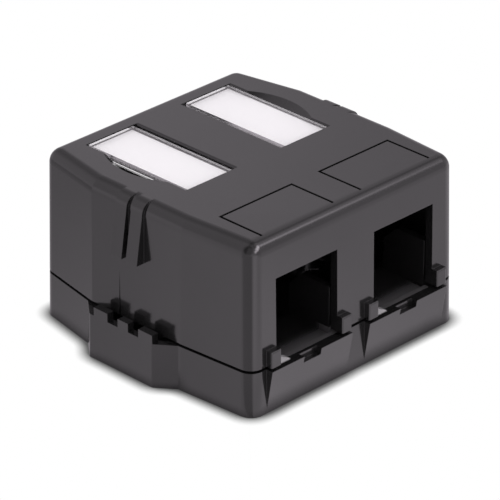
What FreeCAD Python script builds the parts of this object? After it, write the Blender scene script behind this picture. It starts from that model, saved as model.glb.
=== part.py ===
import FreeCAD, Part
import os

Vector = FreeCAD.Vector

# Surface mount jack box for two keystone jacks, in millimetres.
# The origin is on the table under the middle of the box, X to the right, Y to the rear, Z up.

# Housing, seen from above: narrower at the front and at the rear than at its shoulders
depth = 53.7
shoulder_width = 53.8
front_narrowing = 2.5
rear_narrowing = 5.9
shoulder_front = 16.2
shoulder_rear = 38.3
corner_radius = 2.65
least_radius = 0.4

# Housing, seen from the side: its walls lean in by the draft for each millimetre of height
height = 32.8
draft = 0.016
top_radius = 2.6
inner_bevel = 0.8
wall = 1.6
top_wall = 1.8
floor = 2.0
parting_height = 8.5
parting_gap = 0.55

# Rim of the base that the cover slips over
lip_wall = 1.0
lip_height = 2.2
lip_clearance = 0.3
grip_rib_radius = 0.25

# Jack windows in the front, open down to the base
window_width = 15.0
window_pitch = 24.15
window_top = 25.0

# Leaning tongue of the base under each window, and the blocks of the cover beside it
tongue_width = 19.8
tongue_proud = 1.3
tongue_foot = 0.9
notch_width = 4.2
notch_depth = 1.25
block_proud = 1.1
block_height = 3.1
block_round = 0.3

# Cradle of the base behind each window
cheek_clearance = 0.1
cheek_wall = 1.4
cheek_top = 17.0
cheek_length = 10.4
cheek_relief = 0.4
cheek_bevel = 3.0
shelf_wall = 1.2
shelf_drop = 0.85
shelf_rise = 0.6
guide_length = 3.4
guide_height = 1.2

# Bulges of the base at both sides, with teeth along their tops for cable ties
bulge_proud = 2.75
bulge_start = 16.7
bulge_flat_start = 20.35
bulge_flat_length = 15.75
bulge_length = 23.05
bulge_wall = 1.5
bulge_radius = 0.6
tooth_height = 1.65
teeth_length = 14.6
notch_gap = 2.6
notch_spacing = 5.15

# Pairs of leaning ribs on the sides of the cover, and the tapering slit behind them
rib_count = 2
rib_front = 25.2
rib_width = 2.75
rib_gap = 1.1
rib_foot = 21.3
rib_proud = 1.4
rib_top_radius = 2.4
relief_place = 31.25
relief_width = 0.4
relief_top = 18.5

# Flexible tongues in the top of the cover, one over each jack
flap_width = 17.25
flap_front = 2.6
flap_rear = 12.45
slit_width = 0.5

# Label pockets in the top of the cover, with rounded rims along their long sides
label_width = 11.75
label_length = 25.1
label_inner = 5.75
label_front = 23.65
label_sunk = 0.12
rim_radius = 0.5
tray_wall = 1.2
scoop_chord = 17.0
scoop_reach = 2.7
scoop_radius = 21.0
scoop_step = 0.5

# Clear window and paper card in each pocket
plate_wall = 1.1
plate_end_gap = 0.15
plate_inner_gap = 0.85
plate_outer_gap = 0.2
card_wall = 0.3
card_gap = 0.2
card_end_inset = 0.15
card_inner_inset = 0.3
card_outer_inset = 0.1

# Wall screws and the cable entry through the floor
screw_pitch = 35.0
screw_hole = 4.2
screw_head = 8.2
head_depth = 1.0
boss_width = 11.0
boss_height = 0.8
entry_width = 20.0
entry_length = 12.0
entry_rear = 5.0
entry_radius = 3.0

# Stiffening rib under the top of the cover
stiffener_wall = 1.0
stiffener_height = 2.6
stiffener_front = 15.0
stiffener_end = 4.0

front_width = shoulder_width - front_narrowing
rear_width = shoulder_width - rear_narrowing
bulge_width = shoulder_width + 2 * bulge_proud
front = (tongue_proud - depth) / 2
rear = front + depth
cover_foot = parting_height + parting_gap
inner_top = height - top_wall
pocket_floor = height - label_sunk - plate_wall - card_gap - card_wall
label_outer = label_inner + label_width
ports = [-window_pitch / 2, window_pitch / 2]
sides = [-1, 1]
overlap = 1.0
tolerance = 1e-3


def half_width(distance):
    """Half the housing's width at a distance behind its front wall."""
    if distance <= shoulder_front:
        share = distance / shoulder_front
        return (front_width + (shoulder_width - front_width) * share) / 2
    if distance <= shoulder_rear:
        return shoulder_width / 2
    share = (distance - shoulder_rear) / (depth - shoulder_rear)
    return (shoulder_width + (rear_width - shoulder_width) * share) / 2


def prism(points, travel):
    """A closed outline through the points, carried along the travel."""
    return flat_face(points).extrude(travel)


def block(x_low, x_high, y_low, y_high, z_low, z_high):
    """An upright block between two corners."""
    size = (x_high - x_low, y_high - y_low, z_high - z_low)
    return Part.makeBox(size[0], size[1], size[2], Vector(x_low, y_low, z_low))


def edges_at(shape, height_of_edges):
    """The edges that lie flat at one height."""
    found = []
    for edge in shape.Edges:
        box = edge.BoundBox
        if max(abs(box.ZMin - height_of_edges), abs(box.ZMax - height_of_edges)) < tolerance:
            found.append(edge)
    return found


def rising_edges(shape):
    """The edges that rise from the foot of a shape to its top."""
    return [edge for edge in shape.Edges if edge.BoundBox.ZLength > shape.BoundBox.ZLength / 2]


def flat_face(points):
    """A flat face inside a closed outline."""
    return Part.Face(Part.makePolygon(points + points[:1]))


def drawn_in(points, inset, level):
    """An outline whose sides all lie the inset further in, lifted to a level."""
    moved = []
    for number, point in enumerate(points):
        before = (point - points[number - 1]).normalize()
        after = (points[(number + 1) % len(points)] - point).normalize()
        inwards = Vector(-before.y - after.y, before.x + after.x, 0)
        share = inset / (1 + before.dot(after))
        moved.append(point + inwards * share + Vector(0, 0, level))
    return moved


def drafted_block(points, inset, z_low, z_high):
    """A block over an outline, between two heights, with walls that lean in by the draft."""
    low = drawn_in(points, inset + draft * z_low, z_low)
    high = drawn_in(points, inset + draft * z_high, z_high)
    faces = [flat_face(low[::-1]), flat_face(high)]
    for number, corner in enumerate(low):
        following = (number + 1) % len(low)
        faces.append(flat_face([corner, low[following], high[following], high[number]]))
    shell = Part.makeShell(faces)
    shell.sewShape()
    return Part.makeSolid(shell)


def housing_block(inset, z_low, z_high):
    """The housing between two heights, drawn in by the inset, with rounded corners."""
    stations = [0, shoulder_front, shoulder_rear, depth]
    right = [Vector(half_width(s), front + s, 0) for s in stations]
    left = [Vector(-point.x, point.y, 0) for point in reversed(right)]
    solid = drafted_block(right + left, inset, z_low, z_high)
    corners = []
    for edge in rising_edges(solid):
        from_front = edge.BoundBox.YMin - solid.BoundBox.YMin
        from_rear = solid.BoundBox.YMax - edge.BoundBox.YMax
        if min(from_front, from_rear) < tolerance:
            corners.append(edge)
    return solid.makeFillet(max(corner_radius - inset, least_radius), corners)


def housing_ring(outer_inset, inner_inset, z_low, z_high):
    """A wall that follows the housing's plan between two insets."""
    outer = housing_block(outer_inset, z_low, z_high)
    inner = housing_block(inner_inset, z_low - overlap, z_high + overlap)
    return outer.cut(inner)


def mirrored(shape):
    """The same shape on the other side of the box."""
    return shape.mirror(Vector(0, 0, 0), Vector(1, 0, 0))


def bulge_block(inset, z_low, z_high):
    """The bulge on the right, drawn in by the inset; its slopes run on into the housing."""
    flat_x = bulge_width / 2
    inside = shoulder_width / 2 - 3 * wall
    flat_start = front + bulge_flat_start
    flat_end = flat_start + bulge_flat_length
    bulge_end = bulge_start + bulge_length
    front_run = (bulge_flat_start - bulge_start) / (flat_x - half_width(bulge_start))
    rear_run = (front + bulge_end - flat_end) / (flat_x - half_width(bulge_end))
    points = [
        Vector(inside, flat_start - (flat_x - inside) * front_run, 0),
        Vector(flat_x, flat_start, 0),
        Vector(flat_x, flat_end, 0),
        Vector(inside, flat_end + (flat_x - inside) * rear_run, 0),
    ]
    return drafted_block(points, inset, z_low, z_high)


def rounded_bulge():
    """The outside of the right bulge, with rounded corners beside its flat."""
    bulge = bulge_block(0, 0, parting_height)
    corners = [e for e in rising_edges(bulge) if bulge.BoundBox.XMax - e.BoundBox.XMax < tolerance]
    return bulge.makeFillet(bulge_radius, corners)


def bulge_teeth():
    """The three teeth of the right bulge, between two notches for cable ties."""
    start = front + bulge_flat_start
    end = start + teeth_length
    middle = (start + end) / 2
    notches = [middle - notch_spacing / 2, middle + notch_spacing / 2]
    edges = [start]
    for centre in notches:
        edges += [centre - notch_gap / 2, centre + notch_gap / 2]
    edges.append(end)
    flat_x = bulge_width / 2 - draft * parting_height
    teeth = []
    for number in range(0, len(edges), 2):
        teeth.append(block(flat_x - bulge_wall, flat_x, edges[number], edges[number + 1],
                           parting_height - overlap, parting_height + tooth_height))
    return teeth[0].fuse(teeth[1:])


def leaning_tongue(centre):
    """The part of the front wall under a window that leans out, with a notch in its top."""
    x_low = centre - tongue_width / 2
    profile = [
        Vector(x_low, front + draft * tongue_foot, tongue_foot),
        Vector(x_low, front - tongue_proud, parting_height),
        Vector(x_low, front + wall / 2, parting_height),
        Vector(x_low, front + wall / 2, tongue_foot),
    ]
    tongue = prism(profile, Vector(tongue_width, 0, 0))
    notch = block(centre - notch_width / 2, centre + notch_width / 2, front - tongue_proud - overlap,
                  front, parting_height - notch_depth, parting_height + overlap)
    return tongue.cut(notch)


def corner_guide(centre):
    """A small sloped pad on the sill, left of a window, that steers the jack's lower corner."""
    edge_x = centre - window_width / 2 + cheek_clearance
    across = prism([
        Vector(edge_x, front, parting_height - shelf_drop),
        Vector(edge_x, front, parting_height + guide_height),
        Vector(edge_x + guide_length, front, parting_height),
        Vector(edge_x + guide_length, front, parting_height - shelf_drop),
    ], Vector(0, wall, 0))
    along = prism([
        Vector(centre - window_width, front, parting_height - shelf_drop),
        Vector(centre - window_width, front, parting_height),
        Vector(centre - window_width, front + wall, parting_height + guide_height),
        Vector(centre - window_width, front + wall, parting_height - shelf_drop),
    ], Vector(2 * window_width, 0, 0))
    return across.common(along)


def cradle_cheek(centre, side):
    """One upright side of a jack's cradle, bevelled at its top rear corner."""
    inner_x = centre + side * (window_width / 2 + cheek_clearance)
    outer_x = inner_x + side * cheek_wall
    start = front + wall
    end = start + cheek_length
    relieved = start + draft * cheek_top + cheek_relief
    profile = [
        Vector(inner_x, start - wall / 2, floor / 2),
        Vector(inner_x, start - wall / 2, parting_height),
        Vector(inner_x, relieved, parting_height),
        Vector(inner_x, relieved, cheek_top),
        Vector(inner_x, end - cheek_bevel, cheek_top),
        Vector(inner_x, end, cheek_top - cheek_bevel),
        Vector(inner_x, end, floor / 2),
    ]
    return prism(profile, Vector(outer_x - inner_x, 0, 0))


def cradle_shelf(centre):
    """The gently rising shelf that carries the jack's underside."""
    half = window_width / 2 + cheek_clearance + cheek_wall / 2
    start = front + wall / 2
    end = front + wall + cheek_length
    low = parting_height - shelf_drop
    profile = [
        Vector(centre - half, start, low - shelf_wall),
        Vector(centre - half, start, low),
        Vector(centre - half, end, low + shelf_rise),
        Vector(centre - half, end, low + shelf_rise - shelf_wall),
    ]
    return prism(profile, Vector(2 * half, 0, 0))


def lip():
    """The rim inside the cover's wall, left out at the windows and at the bulges."""
    outer_inset = wall + lip_clearance
    inner_inset = outer_inset + lip_wall
    rim = housing_ring(outer_inset, inner_inset, parting_height - lip_height, parting_height + lip_height)
    shoulder = housing_ring(wall / 2, inner_inset, parting_height - lip_height, parting_height)
    port_half = window_width / 2 + cheek_clearance + cheek_wall
    rim = rim.fuse(shoulder)
    for centre in ports:
        rim = rim.cut(block(centre - port_half, centre + port_half, front - overlap,
                            front + wall + cheek_length, 0, height))
    bulge_end = bulge_start + bulge_length - bulge_wall
    rim = rim.cut(block(-bulge_width, bulge_width, front + bulge_start + bulge_wall,
                        front + bulge_end, 0, height))
    return rim


def grip_ribs():
    """Slim upright ribs on the lip that hold the cover by friction."""
    top = parting_height + lip_height
    surface = wall + lip_clearance + draft * top
    ribs = []
    for x in (-window_pitch / 2, 0, window_pitch / 2):
        foot = Vector(x, rear - surface, top - lip_height)
        ribs.append(Part.makeCylinder(grip_rib_radius, lip_height, foot))
    return ribs


def screw_boss(x, y):
    """A low round boss for a wall screw."""
    return Part.makeCylinder(boss_width / 2, floor / 2 + boss_height, Vector(x, y, floor / 2))


def screw_bore(x, y):
    """The hole for a wall screw, sunk for its head."""
    seat = floor + boss_height - head_depth
    bore = Part.makeCylinder(screw_hole / 2, floor + 2 * overlap, Vector(x, y, -overlap))
    sink = Part.makeCylinder(screw_head / 2, head_depth + overlap, Vector(x, y, seat))
    return bore.fuse(sink)


def cable_entry():
    """The rounded opening through the floor near the rear wall."""
    end = rear - entry_rear
    opening = block(-entry_width / 2, entry_width / 2, end - entry_length, end, -overlap, floor + overlap)
    uprights = [e for e in opening.Edges if e.BoundBox.ZLength > floor]
    return opening.makeFillet(entry_radius, uprights)


def make_base():
    """The tray of the box: floor, walls, bulges, tongues and cradles in one moulding."""
    bulge = rounded_bulge()
    solid = housing_block(0, 0, parting_height).fuse([bulge, mirrored(bulge)])
    solid = solid.fuse([bulge_teeth(), mirrored(bulge_teeth())])
    solid = solid.cut(housing_block(wall, floor, parting_height + overlap))
    pocket = bulge_block(bulge_wall, floor, height)
    solid = solid.cut(pocket.fuse(mirrored(pocket)))
    pieces = [lip()]
    pieces += grip_ribs()
    for centre in ports:
        pieces.append(leaning_tongue(centre))
        pieces.append(cradle_shelf(centre))
        pieces.append(corner_guide(centre))
        for side in sides:
            pieces.append(cradle_cheek(centre, side))
    middle = front + depth / 2
    for side in sides:
        pieces.append(screw_boss(side * screw_pitch / 2, middle))
    solid = solid.fuse(pieces)
    for side in sides:
        solid = solid.cut(screw_bore(side * screw_pitch / 2, middle))
    solid = solid.cut(cable_entry())
    return solid.removeSplitter()


def cover_block(centre, side):
    """A small block beside a window that stands over the leaning tongue, the parting gap above it."""
    inner_x = centre + side * window_width / 2
    outer_x = centre + side * tongue_width / 2
    shape = block(min(inner_x, outer_x), max(inner_x, outer_x), front - block_proud, front + wall / 2,
                  cover_foot, cover_foot + block_height)
    face_edges = []
    for edge in shape.Edges:
        box = edge.BoundBox
        at_face = box.YMax < front - block_proud + tolerance
        if at_face and box.ZMax > cover_foot + tolerance:
            face_edges.append(edge)
    return shape.makeFillet(block_round, face_edges)


def jack_window(centre):
    """The opening of the front wall for one jack, open downwards."""
    half = window_width / 2
    return block(centre - half, centre + half, front - tongue_proud - overlap, front + wall + overlap,
                 cover_foot - overlap, window_top)


def side_rib(y_low):
    """One rib on the right side: it leans out from the top edge to its square foot."""
    top_x = shoulder_width / 2
    foot_x = shoulder_width / 2 + rib_proud
    inner_x = shoulder_width / 2 - wall / 2
    shoulder_z = height - rib_top_radius
    bend = rib_top_radius * 0.5 ** 0.5
    arc = Part.Arc(
        Vector(top_x, y_low, shoulder_z),
        Vector(top_x - rib_top_radius + bend, y_low, shoulder_z + bend),
        Vector(top_x - rib_top_radius, y_low, height),
    )
    inner_z = height - top_wall / 2
    chain = [
        Part.LineSegment(Vector(inner_x, y_low, rib_foot), Vector(foot_x, y_low, rib_foot)),
        Part.LineSegment(Vector(foot_x, y_low, rib_foot), Vector(top_x, y_low, shoulder_z)),
        arc,
    ]
    inside = [
        Vector(top_x - rib_top_radius, y_low, height),
        Vector(inner_x - top_radius, y_low, height),
        Vector(inner_x - top_radius, y_low, inner_z),
        Vector(inner_x, y_low, inner_z - top_radius),
        Vector(inner_x, y_low, rib_foot),
    ]
    for number in range(len(inside) - 1):
        chain.append(Part.LineSegment(inside[number], inside[number + 1]))
    outline = Part.Wire([piece.toShape() for piece in chain])
    return Part.Face(outline).extrude(Vector(0, rib_width, 0))


def relief_slit():
    """The slit in the right wall behind the ribs, which tapers to nothing and lets the wall give."""
    x_low = shoulder_width / 2 - 2 * wall
    y = front + relief_place
    foot = cover_foot - overlap
    return prism([
        Vector(x_low, y - relief_width / 2, foot),
        Vector(x_low, y + relief_width / 2, foot),
        Vector(x_low, y, relief_top),
    ], Vector(3 * wall, 0, 0))


def flap_slit(centre):
    """The three-sided slit that frees a flexible tongue in the top."""
    x_low = centre - flap_width / 2
    x_high = centre + flap_width / 2
    y_low = front + flap_front
    y_high = front + flap_rear
    half = slit_width / 2
    outer = block(x_low - half, x_high + half, y_low, y_high + half, inner_top - overlap, height + overlap)
    inner = block(x_low + half, x_high - half, y_low - overlap, y_high - half, inner_top - 2 * overlap,
                  height + 2 * overlap)
    return outer.cut(inner)


def label_pocket():
    """The right label pocket: its long sides curve out at their rims."""
    y = front + label_front
    low = height - rim_radius
    bend = rim_radius * (1 - 0.5 ** 0.5)
    inner_rim = Part.Arc(
        Vector(label_inner, y, low),
        Vector(label_inner - bend, y, height - bend),
        Vector(label_inner - rim_radius, y, height),
    )
    outer_rim = Part.Arc(
        Vector(label_outer + rim_radius, y, height),
        Vector(label_outer + bend, y, height - bend),
        Vector(label_outer, y, low),
    )
    above = [
        Vector(label_inner - rim_radius, y, height),
        Vector(label_inner - rim_radius, y, height + overlap),
        Vector(label_outer + rim_radius, y, height + overlap),
        Vector(label_outer + rim_radius, y, height),
    ]
    below = [
        Vector(label_outer, y, low),
        Vector(label_outer, y, pocket_floor),
        Vector(label_inner, y, pocket_floor),
        Vector(label_inner, y, low),
    ]
    chain = [inner_rim.toShape()]
    chain += Part.makePolygon(above).Edges
    chain.append(outer_rim.toShape())
    chain += Part.makePolygon(below).Edges
    return Part.Face(Part.Wire(chain)).extrude(Vector(0, label_length, 0))


def label_scoop():
    """The hollow for a fingernail at the outer long side of the right pocket."""
    y = front + label_front + label_length / 2
    circle_radius = (scoop_chord ** 2 / 4 + scoop_reach ** 2) / (2 * scoop_reach)
    rise = (scoop_radius ** 2 - circle_radius ** 2) ** 0.5
    centre = Vector(label_outer + scoop_reach - circle_radius, y, height + rise)
    ball = Part.makeSphere(scoop_radius, centre)
    reach = block(label_outer - plate_outer_gap, label_outer + 2 * scoop_reach, y - scoop_chord,
                  y + scoop_chord, pocket_floor - scoop_step, height + overlap)
    return ball.common(reach)


def label_tray():
    """The thicker patch under the right pocket that closes it below."""
    y_low = front + label_front
    return block(label_inner - tray_wall, label_outer + scoop_reach + tray_wall / 2, y_low - tray_wall,
                 y_low + label_length + tray_wall, pocket_floor - tray_wall, inner_top + top_wall / 2)


def stiffener():
    """The rib along the middle, under the top."""
    half = stiffener_wall / 2
    return block(-half, half, front + stiffener_front, rear - stiffener_end,
                 inner_top - stiffener_height, inner_top + top_wall / 2)


def make_cover():
    """The hood of the box in one moulding, open below."""
    outer = housing_block(0, cover_foot, height)
    outer = outer.makeFillet(top_radius, edges_at(outer, height))
    cavity = housing_block(wall, cover_foot - overlap, inner_top)
    cavity = cavity.makeChamfer(inner_bevel, edges_at(cavity, inner_top))
    solid = outer.cut(cavity)
    pieces = [stiffener(), label_tray(), mirrored(label_tray())]
    for number in range(rib_count):
        rib = side_rib(front + rib_front + number * (rib_width + rib_gap))
        pieces += [rib, mirrored(rib)]
    for centre in ports:
        for side in sides:
            pieces.append(cover_block(centre, side))
    solid = solid.fuse(pieces)
    cuts = [relief_slit(), mirrored(relief_slit())]
    for centre in ports:
        cuts.append(flap_slit(centre))
        cuts.append(jack_window(centre))
    pocket = label_pocket().fuse(label_scoop())
    cuts += [pocket, mirrored(pocket)]
    solid = solid.cut(cuts)
    return solid.removeSplitter()


def label_layer(inner_inset, outer_inset, end_inset, z_low, thickness):
    """A flat layer in the right pocket, set in from its sides and ends."""
    y_low = front + label_front
    return block(label_inner + inner_inset, label_outer - outer_inset, y_low + end_inset,
                 y_low + label_length - end_inset, z_low, z_low + thickness)


def make_label_plate():
    """The clear window of the right pocket, close over the card."""
    seat = pocket_floor + card_wall + card_gap
    return label_layer(plate_inner_gap, plate_outer_gap, plate_end_gap, seat, plate_wall)


def make_label_card():
    """The paper card on the pocket's floor, a little smaller than the clear window."""
    inner_inset = plate_inner_gap + card_inner_inset
    outer_inset = plate_outer_gap + card_outer_inset
    return label_layer(inner_inset, outer_inset, plate_end_gap + card_end_inset, pocket_floor, card_wall)


os.makedirs("parts", exist_ok=True)
plate = make_label_plate()
card = make_label_card()
nodes = {
    "base": make_base(),
    "cover": make_cover(),
    "label_window_left": mirrored(plate),
    "label_window_right": plate,
    "label_card_left": mirrored(card),
    "label_card_right": card,
}
for name, shape in nodes.items():
    shape.exportStep("parts/" + name + ".step")
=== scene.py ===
import bpy
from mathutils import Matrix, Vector

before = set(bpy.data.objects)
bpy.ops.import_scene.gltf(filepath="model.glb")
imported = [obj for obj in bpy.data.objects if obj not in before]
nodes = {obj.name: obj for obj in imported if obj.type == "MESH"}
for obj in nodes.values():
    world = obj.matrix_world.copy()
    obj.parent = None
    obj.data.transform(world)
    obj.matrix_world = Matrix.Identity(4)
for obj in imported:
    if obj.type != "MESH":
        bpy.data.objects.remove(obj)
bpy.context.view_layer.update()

# Surface mount jack box: black moulded base and cover, clear label windows over white cards.
# Everything is in metres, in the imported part's own frame: X to the right, -Y out of the jack windows, Z up.

print("stage 1: frame loaded")

mm = 0.001


# lengths given in millimetres, as metres
def inMm(*lengths):
    return tuple(length * mm for length in lengths)


class Wire:
    # one shader socket; plain arithmetic on it adds Math nodes

    def __init__(self, finish, socket):
        self.finish = finish
        self.socket = socket

    # result = first (operation) second
    def math(self, operation, first, second):
        return self.finish.add("Math", {"operation": operation}, {0: first, 1: second})

    def __add__(self, other):
        return self.math("ADD", self, other)

    __radd__ = __add__

    def __sub__(self, other):
        return self.math("SUBTRACT", self, other)

    def __rsub__(self, other):
        return self.math("SUBTRACT", other, self)

    def __mul__(self, other):
        return self.math("MULTIPLY", self, other)

    __rmul__ = __mul__

    def __pow__(self, other):
        return self.math("POWER", self, other)

    # 0 at low, 1 at high, eased at both ends; low may be the larger number
    def smooth(self, low, high):
        rising = low < high
        return self.finish.add("MapRange", {"interpolation_type": "SMOOTHSTEP"}, {
            "Value": self, "From Min": min(low, high), "From Max": max(low, high),
            "To Min": 0.0 if rising else 1.0, "To Max": 1.0 if rising else 0.0})

    # 0 up to start, 1 from low to high, 0 from end on, eased in between
    def band(self, start, low, high, end):
        return self.smooth(start, low) * self.smooth(end, high)


class Finish:
    # the node tree of one material or of the world

    def __init__(self, owner, kind):
        owner.use_nodes = True
        self.owner = owner
        self.tree = owner.node_tree
        self.tree.nodes.clear()
        self.out = self.tree.nodes.new("ShaderNodeOutput" + kind)

    # a node of this kind: its settings first, then the values or wires of its sockets
    def add(self, kind, settings=None, sockets=None, output=0):
        made = self.tree.nodes.new("ShaderNode" + kind)
        for key, value in (settings or {}).items():
            setattr(made, key, value)
        for key, value in (sockets or {}).items():
            if isinstance(value, Wire):
                self.tree.links.new(value.socket, made.inputs[key])
            else:
                made.inputs[key].default_value = value
        return Wire(self, made.outputs[output])

    # a cloudy pattern from 0 to 1, with this many patches to the metre
    def noise(self, place, scale, detail=2.0):
        return self.add("TexNoise", {}, {"Vector": place, "Scale": scale, "Detail": detail})

    # colour = first x (1 - share) + second x share
    def mix(self, share, first, second):
        return self.add("Mix", {"data_type": "RGBA"}, {0: share, 6: first, 7: second}, 2)

    # the X, Y and Z of a vector, as wires
    def parts(self, vector):
        made = self.add("SeparateXYZ", {}, {"Vector": vector})
        return [Wire(self, output) for output in made.socket.node.outputs]

    # the last shader goes to the output
    def finished(self, wire):
        self.tree.links.new(wire.socket, self.out.inputs["Surface"])
        return self.owner


# every material slot of the piece takes the one material
def dress(piece, material):
    if not piece.data.materials:
        piece.data.materials.append(material)
    for slot in piece.material_slots:
        slot.material = material


# black moulded plastic, the user may change these; a reach is start, low, high and end of a band
plastic = {
    "color": (0.0085, 0.0080, 0.0085, 1.0),
    "worn": (0.0110, 0.0104, 0.0110, 1.0),
    "wornScale": 60.0,
    "wornRange": (0.35, 0.75),
    "roughness": 0.15,
    "roughnessSwing": 0.04,
    "smearScale": 420.0,
    "detail": 3.0,
    "ior": 1.5,
    "edgeRadius": 0.10 * mm,
    "edgeSamples": 6,
    "grainScale": 5200.0,
    "grainHeight": 0.0012 * mm,
    # shelf colour: painted light, a paler colour standing in for light that falls through the jack windows
    # onto the shelves
    "shelfPaintedLight": (0.070, 0.066, 0.070, 1.0),
    "shelfMatt": 0.30,
    "litMattShelfAcross": inMm(-19.6, -19.3, 19.3, 19.6),
    "litMattShelfAlong": inMm(-25.6, -25.3, -23.5, -20.0),
    "litMattShelfUp": inMm(7.2, 7.5, 8.9, 9.2),
    # pad colour: a painted highlight, a pale colour standing in for the glint of light on the guide slopes
    "padPaintedHighlight": (0.300, 0.285, 0.300, 1.0),
    "highlightPadsAcross": (inMm(-19.8, -19.5, -16.6, -16.3), inMm(4.3, 4.6, 7.5, 7.8)),
    "highlightPadsAlong": inMm(-26.5, -26.2, -24.6, -24.3),
    "highlightPadsUp": inMm(7.9, 8.2, 9.6, 9.9),
}


# lit matt shelf = bands of X, Y and Z around the jack shelves, which are matt and carry a painted pool of
# light that fades into the box;
# pad highlight = bands of Y and Z x the sum of the bands of X: a painted highlight on the guide slopes beside
# the shelves;
# colour = mix(mix(mix(color, worn, eased drift), shelf painted light, lit matt shelf), pad painted highlight,
# pad highlight);
# roughness = roughness + swing x (smear - 1/2) + matt x lit matt shelf; normal = rounded edges + a fine
# moulded grain
def mouldedPlastic(name, settings):
    finish = Finish(bpy.data.materials.new(name), "Material")
    place = finish.add("TexCoord", output="Object")
    across, along, up = finish.parts(place)
    drift = finish.noise(place, settings["wornScale"], settings["detail"])
    smear = finish.noise(place, settings["smearScale"], settings["detail"])
    grain = finish.noise(place, settings["grainScale"])
    # painted pool of light on the jack shelves, fading into the box; the same band makes them matt
    litMattShelf = along.band(*settings["litMattShelfAlong"]) * up.band(*settings["litMattShelfUp"])
    litMattShelf = litMattShelf * across.band(*settings["litMattShelfAcross"])
    # painted highlight on the guide slopes beside the shelves
    padHighlight = sum(across.band(*reach) for reach in settings["highlightPadsAcross"])
    padHighlight = padHighlight * up.band(*settings["highlightPadsUp"]) * along.band(*settings["highlightPadsAlong"])
    color = finish.mix(drift.smooth(*settings["wornRange"]), settings["color"], settings["worn"])
    color = finish.mix(litMattShelf, color, settings["shelfPaintedLight"])
    color = finish.mix(padHighlight, color, settings["padPaintedHighlight"])
    roughness = (smear - 0.5) * settings["roughnessSwing"] + settings["roughness"]
    roughness = roughness + litMattShelf * settings["shelfMatt"]
    rounded = finish.add("Bevel", {"samples": settings["edgeSamples"]}, {"Radius": settings["edgeRadius"]})
    bumped = finish.add("Bump", {}, {
        "Height": grain, "Distance": settings["grainHeight"], "Normal": rounded})
    return finish.finished(finish.add("BsdfPrincipled", {}, {
        "Base Color": color, "Roughness": roughness, "Normal": bumped, "IOR": settings["ior"]}))


blackPlastic = mouldedPlastic("blackPlastic", plastic)
for name in ("base", "cover"):
    dress(nodes[name], blackPlastic)


# clear label windows, the user may change these; the painted shade along the far edge is a band measured from
# each right side
clear = {
    "ior": 1.49,
    "roughness": 0.08,
    "haze": 0.06,
    "hazeScale": 900.0,
    "tint": (0.985, 0.98, 0.985, 1.0),
    # edge shade colour: painted shade for the dark strip along the far edge of each window
    "edgeShadeColor": (0.30, 0.295, 0.30, 1.0),
    "shadeStripOffsets": inMm(-0.65, -0.55, 0.10, 0.20),
}


# seen and mirrored rays bend through the plate; light and shadow pass straight through it;
# colour = mix(tint, edge shade colour, sum of the bands of X at the right sides), a painted dark strip of
# shade along the far edge of each window;
# roughness = roughness + haze x noise
def clearPlastic(name, pieces, settings):
    finish = Finish(bpy.data.materials.new(name), "Material")
    place = finish.add("TexCoord", output="Object")
    across = finish.parts(place)[0]
    haze = finish.noise(place, settings["hazeScale"])
    rightSides = [max(corner[0] for corner in piece.bound_box) for piece in pieces]
    # painted shade: a dark strip along the right edge of each window
    edge = sum(across.band(*(side + offset for offset in settings["shadeStripOffsets"])) for side in rightSides)
    straight = finish.add("BsdfTransparent", {}, {"Color": settings["tint"]})
    bent = finish.add("BsdfPrincipled", {}, {
        "Base Color": finish.mix(edge, settings["tint"], settings["edgeShadeColor"]),
        "Roughness": haze * settings["haze"] + settings["roughness"],
        "IOR": settings["ior"], "Transmission Weight": 1.0})
    shadow = finish.add("LightPath", output="Is Shadow Ray")
    diffuse = finish.add("LightPath", output="Is Diffuse Ray")
    passing = finish.add("Math", {"operation": "MAXIMUM"}, {0: shadow, 1: diffuse})
    return finish.finished(finish.add("MixShader", {}, {0: passing, 1: bent, 2: straight}))


labelWindows = [nodes["label_window_left"], nodes["label_window_right"]]
windowPlastic = clearPlastic("windowPlastic", labelWindows, clear)
for piece in labelWindows:
    dress(piece, windowPlastic)


# label cards, the user may change these
paper = {
    "color": (0.92, 0.907, 0.92, 1.0),
    "fibre": (0.90, 0.887, 0.90, 1.0),
    "fibreScale": 2600.0,
    "fibreDetail": 4.0,
    "fibreShare": 0.6,
    "fibreRange": (0.4, 0.7),
    "fibreHeight": 0.008 * mm,
    "cloudScale": 300.0,
    "roughness": 0.75,
}


# colour = mix(color, fibre, eased blend of a fine and a coarse noise); the fine one also lifts the surface
def whiteCard(name, settings):
    finish = Finish(bpy.data.materials.new(name), "Material")
    place = finish.add("TexCoord", output="Object")
    fibre = finish.noise(place, settings["fibreScale"], settings["fibreDetail"])
    cloud = finish.noise(place, settings["cloudScale"])
    blend = fibre * settings["fibreShare"] + cloud * (1.0 - settings["fibreShare"])
    color = finish.mix(blend.smooth(*settings["fibreRange"]), settings["color"], settings["fibre"])
    bumped = finish.add("Bump", {}, {"Height": fibre, "Distance": settings["fibreHeight"]})
    return finish.finished(finish.add("BsdfPrincipled", {}, {
        "Base Color": color, "Roughness": settings["roughness"], "Normal": bumped}))


cardPaper = whiteCard("cardPaper", paper)
for name in ("label_card_left", "label_card_right"):
    dress(nodes[name], cardPaper)

print("stage 2: materials")


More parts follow.
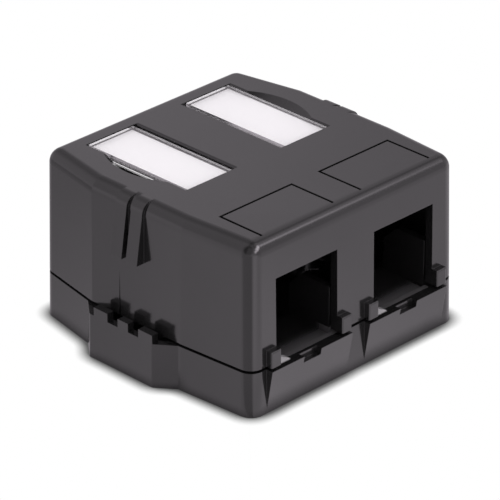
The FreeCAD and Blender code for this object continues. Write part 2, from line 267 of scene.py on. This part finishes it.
# floor, the user may change these; a ramp is where it starts, where it is full, and its height
ground = {
    "size": 6.0,
    "color": (0.8, 0.8, 0.8, 1.0),
    "shadowReach": 2.7 * mm,
    "shadowSamples": 16,
    "shadowDark": 0.10,
    "shadowBend": 1.35,
    "holeShadeAcross": inMm(-22.0, -21.0, 21.0, 22.0),
    "holeShadeAlong": inMm(-7.0, -6.0, 24.0, 25.0),
    "mirrorDark": 0.35,
    "mirrorTint": (1.0, 0.93, 1.0),
    "leftBase": 0.60,
    "leftRamp": (40.0 * mm, -80.0 * mm, 0.62),
    "leftShade": 0.36,
    "leftShadeTurn": (-1.00, -0.80, 0.25, 0.45),
    "frontBase": 1.22,
    "frontRamp": (45.0 * mm, -5.0 * mm, 0.30),
    "frontCorner": (-10.0 * mm, -40.0 * mm, 0.55),
    "frontFoot": (-46.0 * mm, -36.0 * mm, -0.16),
    "frontTurn": (-0.85, -1.20),
    "corner": inMm(-25.0, -26.0),
}


# ramp = height x eased share of the way from start to full
def ramp(wire, start, full, height):
    return wire.smooth(start, full) * height


# one large square under the box, pale for the lamps. What the camera sees of it is white with a painted
# shadow,
# darker at the foot of the box's walls and painted black as shade under the holes of the tray, with s the
# share of open sky close by:
# seen = mix(dark, 1, s ^ bend). What the gloss of the box mirrors of it, with the same painted shade near the
# box and under the holes:
# mirrored level = mix(left, front, eased turn about the front left corner) x mix(mirror dark, 1, s),
# turn = arctan((Y - corner Y) / (corner X - X)), left = base + ramp of X + Y - shade x band of the turn,
# front = base + two ramps of X + a ramp of Y, and s = max(2 x open sky - 1, 0)
def makeFloor(settings):
    half = settings["size"] / 2
    corners = [(-half, -half, 0), (half, -half, 0), (half, half, 0), (-half, half, 0)]
    mesh = bpy.data.meshes.new("studioFloor")
    mesh.from_pydata(corners, [], [(0, 1, 2, 3)])
    floor = bpy.data.objects.new("studioFloor", mesh)
    bpy.context.scene.collection.objects.link(floor)
    finish = Finish(bpy.data.materials.new("studioFloor"), "Material")
    across, along = finish.parts(finish.add("TexCoord", output="Object"))[:2]
    openSky = finish.add("AmbientOcclusion", {"samples": settings["shadowSamples"]},
                         {"Distance": settings["shadowReach"]}, "AO")
    share = finish.add("Math", {"operation": "MAXIMUM"}, {0: openSky * 2.0 - 1.0, 1: 0.0})
    # painted shade: the floor is painted black under the holes of the tray
    holeShade = across.band(*settings["holeShadeAcross"]) * along.band(*settings["holeShadeAlong"])
    dark = settings["shadowDark"]
    # painted shadow: white darkened where the box closes off the sky, and black under the holes
    seen = share ** settings["shadowBend"] * (1.0 - dark) + (1.0 - holeShade) * dark
    cornerX, cornerY = settings["corner"]
    turn = finish.add("Math", {"operation": "ARCTAN2"}, {0: along - cornerY, 1: cornerX - across})
    left = ramp(across + along, *settings["leftRamp"]) + settings["leftBase"]
    left = left - turn.band(*settings["leftShadeTurn"]) * settings["leftShade"]
    front = ramp(across, *settings["frontRamp"]) + ramp(across, *settings["frontCorner"])
    front = front + ramp(along, *settings["frontFoot"]) + settings["frontBase"]
    level = turn.smooth(*settings["frontTurn"]) * (front - left) + left
    level = level * (share * (1.0 - settings["mirrorDark"]) + settings["mirrorDark"]) * (1.0 - holeShade)
    tinted = finish.add("VectorMath", {"operation": "SCALE"}, {0: settings["mirrorTint"], "Scale": level})
    lit = finish.add("BsdfDiffuse", {}, {"Color": settings["color"]})
    white = finish.add("Emission", {}, {"Color": seen, "Strength": 1.0})
    mirrored = finish.add("Emission", {}, {"Color": tinted, "Strength": 1.0})
    camera = finish.add("LightPath", output="Is Camera Ray")
    glossy = finish.add("LightPath", output="Is Glossy Ray")
    shown = finish.add("MixShader", {}, {0: camera, 1: lit, 2: white})
    dress(floor, finish.finished(finish.add("MixShader", {}, {0: glossy, 1: shown, 2: mirrored})))


# sky, the user may change these; a patch is a soft light or shade that the gloss mirrors:
# where it stands, the cosines of its full and of its outer edge, and its height
sky = {
    "light": 1.08,
    "throughWindow": 0.80,
    "mirrorTint": (1.0, 0.93, 1.0, 1.0),
    "mirrorBase": 0.55,
    "leftRamp": (0.15, -0.30, 0.42),
    "frontRamp": (0.05, -0.30, 0.45),
    "patches": [
        ((0.50, -0.53, 0.69), 0.992, 0.978, 4.0),
        ((0.34, -0.68, 0.66), 0.992, 0.975, 4.5),
        ((0.15, -0.82, 0.56), 0.990, 0.970, 5.0),
        ((-0.10, -0.91, 0.41), 0.996, 0.984, 4.5),
        ((-0.72, -0.32, 0.60), 0.93, 0.70, -0.85),
        ((0.00, -0.25, 0.97), 0.95, 0.85, -0.35),
        ((0.50, -0.42, 0.75), 0.985, 0.92, 0.50),
        ((0.65, 0.36, 0.68), 0.98, 0.93, 0.35),
        ((0.56, 0.71, 0.43), 0.997, 0.985, 0.35),
        ((-0.77, 0.64, 0.05), 0.995, 0.96, 0.30),
    ],
}


# mirrored level = base + a ramp of X + a ramp of Y + the patches, an even one inside the label windows;
# the camera sees white, and all else is lit by an even white
def makeWorld(settings):
    world = bpy.data.worlds.new("studioSky")
    bpy.context.scene.world = world
    finish = Finish(world, "World")
    direction = finish.add("TexCoord", output="Generated")
    across, along = finish.parts(direction)[:2]
    level = ramp(across, *settings["leftRamp"]) + ramp(along, *settings["frontRamp"]) + settings["mirrorBase"]
    for middle, inner, outer, height in settings["patches"]:
        facing = finish.add("VectorMath", {"operation": "DOT_PRODUCT"},
                            {0: direction, 1: Vector(middle).normalized()}, "Value")
        level = level + ramp(facing, outer, inner, height)
    through = finish.add("LightPath", output="Transmission Depth").smooth(0.0, 1.0)
    level = level + through * (settings["throughWindow"] - level)
    glossy = finish.add("LightPath", output="Is Glossy Ray")
    camera = finish.add("LightPath", output="Is Camera Ray")
    light = settings["light"]
    finish.finished(finish.add("Background", {}, {
        "Color": finish.mix(glossy, (1.0, 1.0, 1.0, 1.0), settings["mirrorTint"]),
        "Strength": glossy * (level - light) + camera * (1.0 - light) + light}))


# soft lamps, the user may change these; each: place, aim, size, watts
lamps = {
    "keyLamp": ((0.25, -0.75, 0.75), (0, 0, 0.015), 0.5, 1.0),
}


# the lamp stands at its place and turns its face to the aim
def makeLamp(name, place, aim, size, watts):
    data = bpy.data.lights.new(name, "AREA")
    data.shape = "SQUARE"
    data.size = size
    data.energy = watts
    lamp = bpy.data.objects.new(name, data)
    bpy.context.scene.collection.objects.link(lamp)
    lamp.location = place
    lamp.rotation_euler = (Vector(aim) - Vector(place)).to_track_quat("-Z", "Y").to_euler()
    lamp.visible_glossy = False


makeFloor(ground)
makeWorld(sky)
for name, facts in lamps.items():
    makeLamp(name, *facts)

print("stage 3: studio")


# camera, fitted to the edges of the box in the photo
view = {
    "place": (-0.433705, -0.430510, 0.333836),
    "direction": (0.628861, 0.623821, -0.464092),
    "lens": 280.7705,
    "sensor": 36.0,
    "nearest": 0.01,
    "farthest": 20.0,
}


# the camera looks along its direction with its upper edge level
def makeCamera(settings):
    data = bpy.data.cameras.new("photoCamera")
    data.sensor_fit = "HORIZONTAL"
    data.sensor_width = settings["sensor"]
    data.lens = settings["lens"]
    data.clip_start = settings["nearest"]
    data.clip_end = settings["farthest"]
    camera = bpy.data.objects.new("photoCamera", data)
    bpy.context.scene.collection.objects.link(camera)
    camera.location = settings["place"]
    camera.rotation_euler = Vector(settings["direction"]).to_track_quat("-Z", "Y").to_euler()
    bpy.context.scene.camera = camera


makeCamera(view)
bpy.context.scene.view_settings.view_transform = "Standard"

print("stage 4: camera")
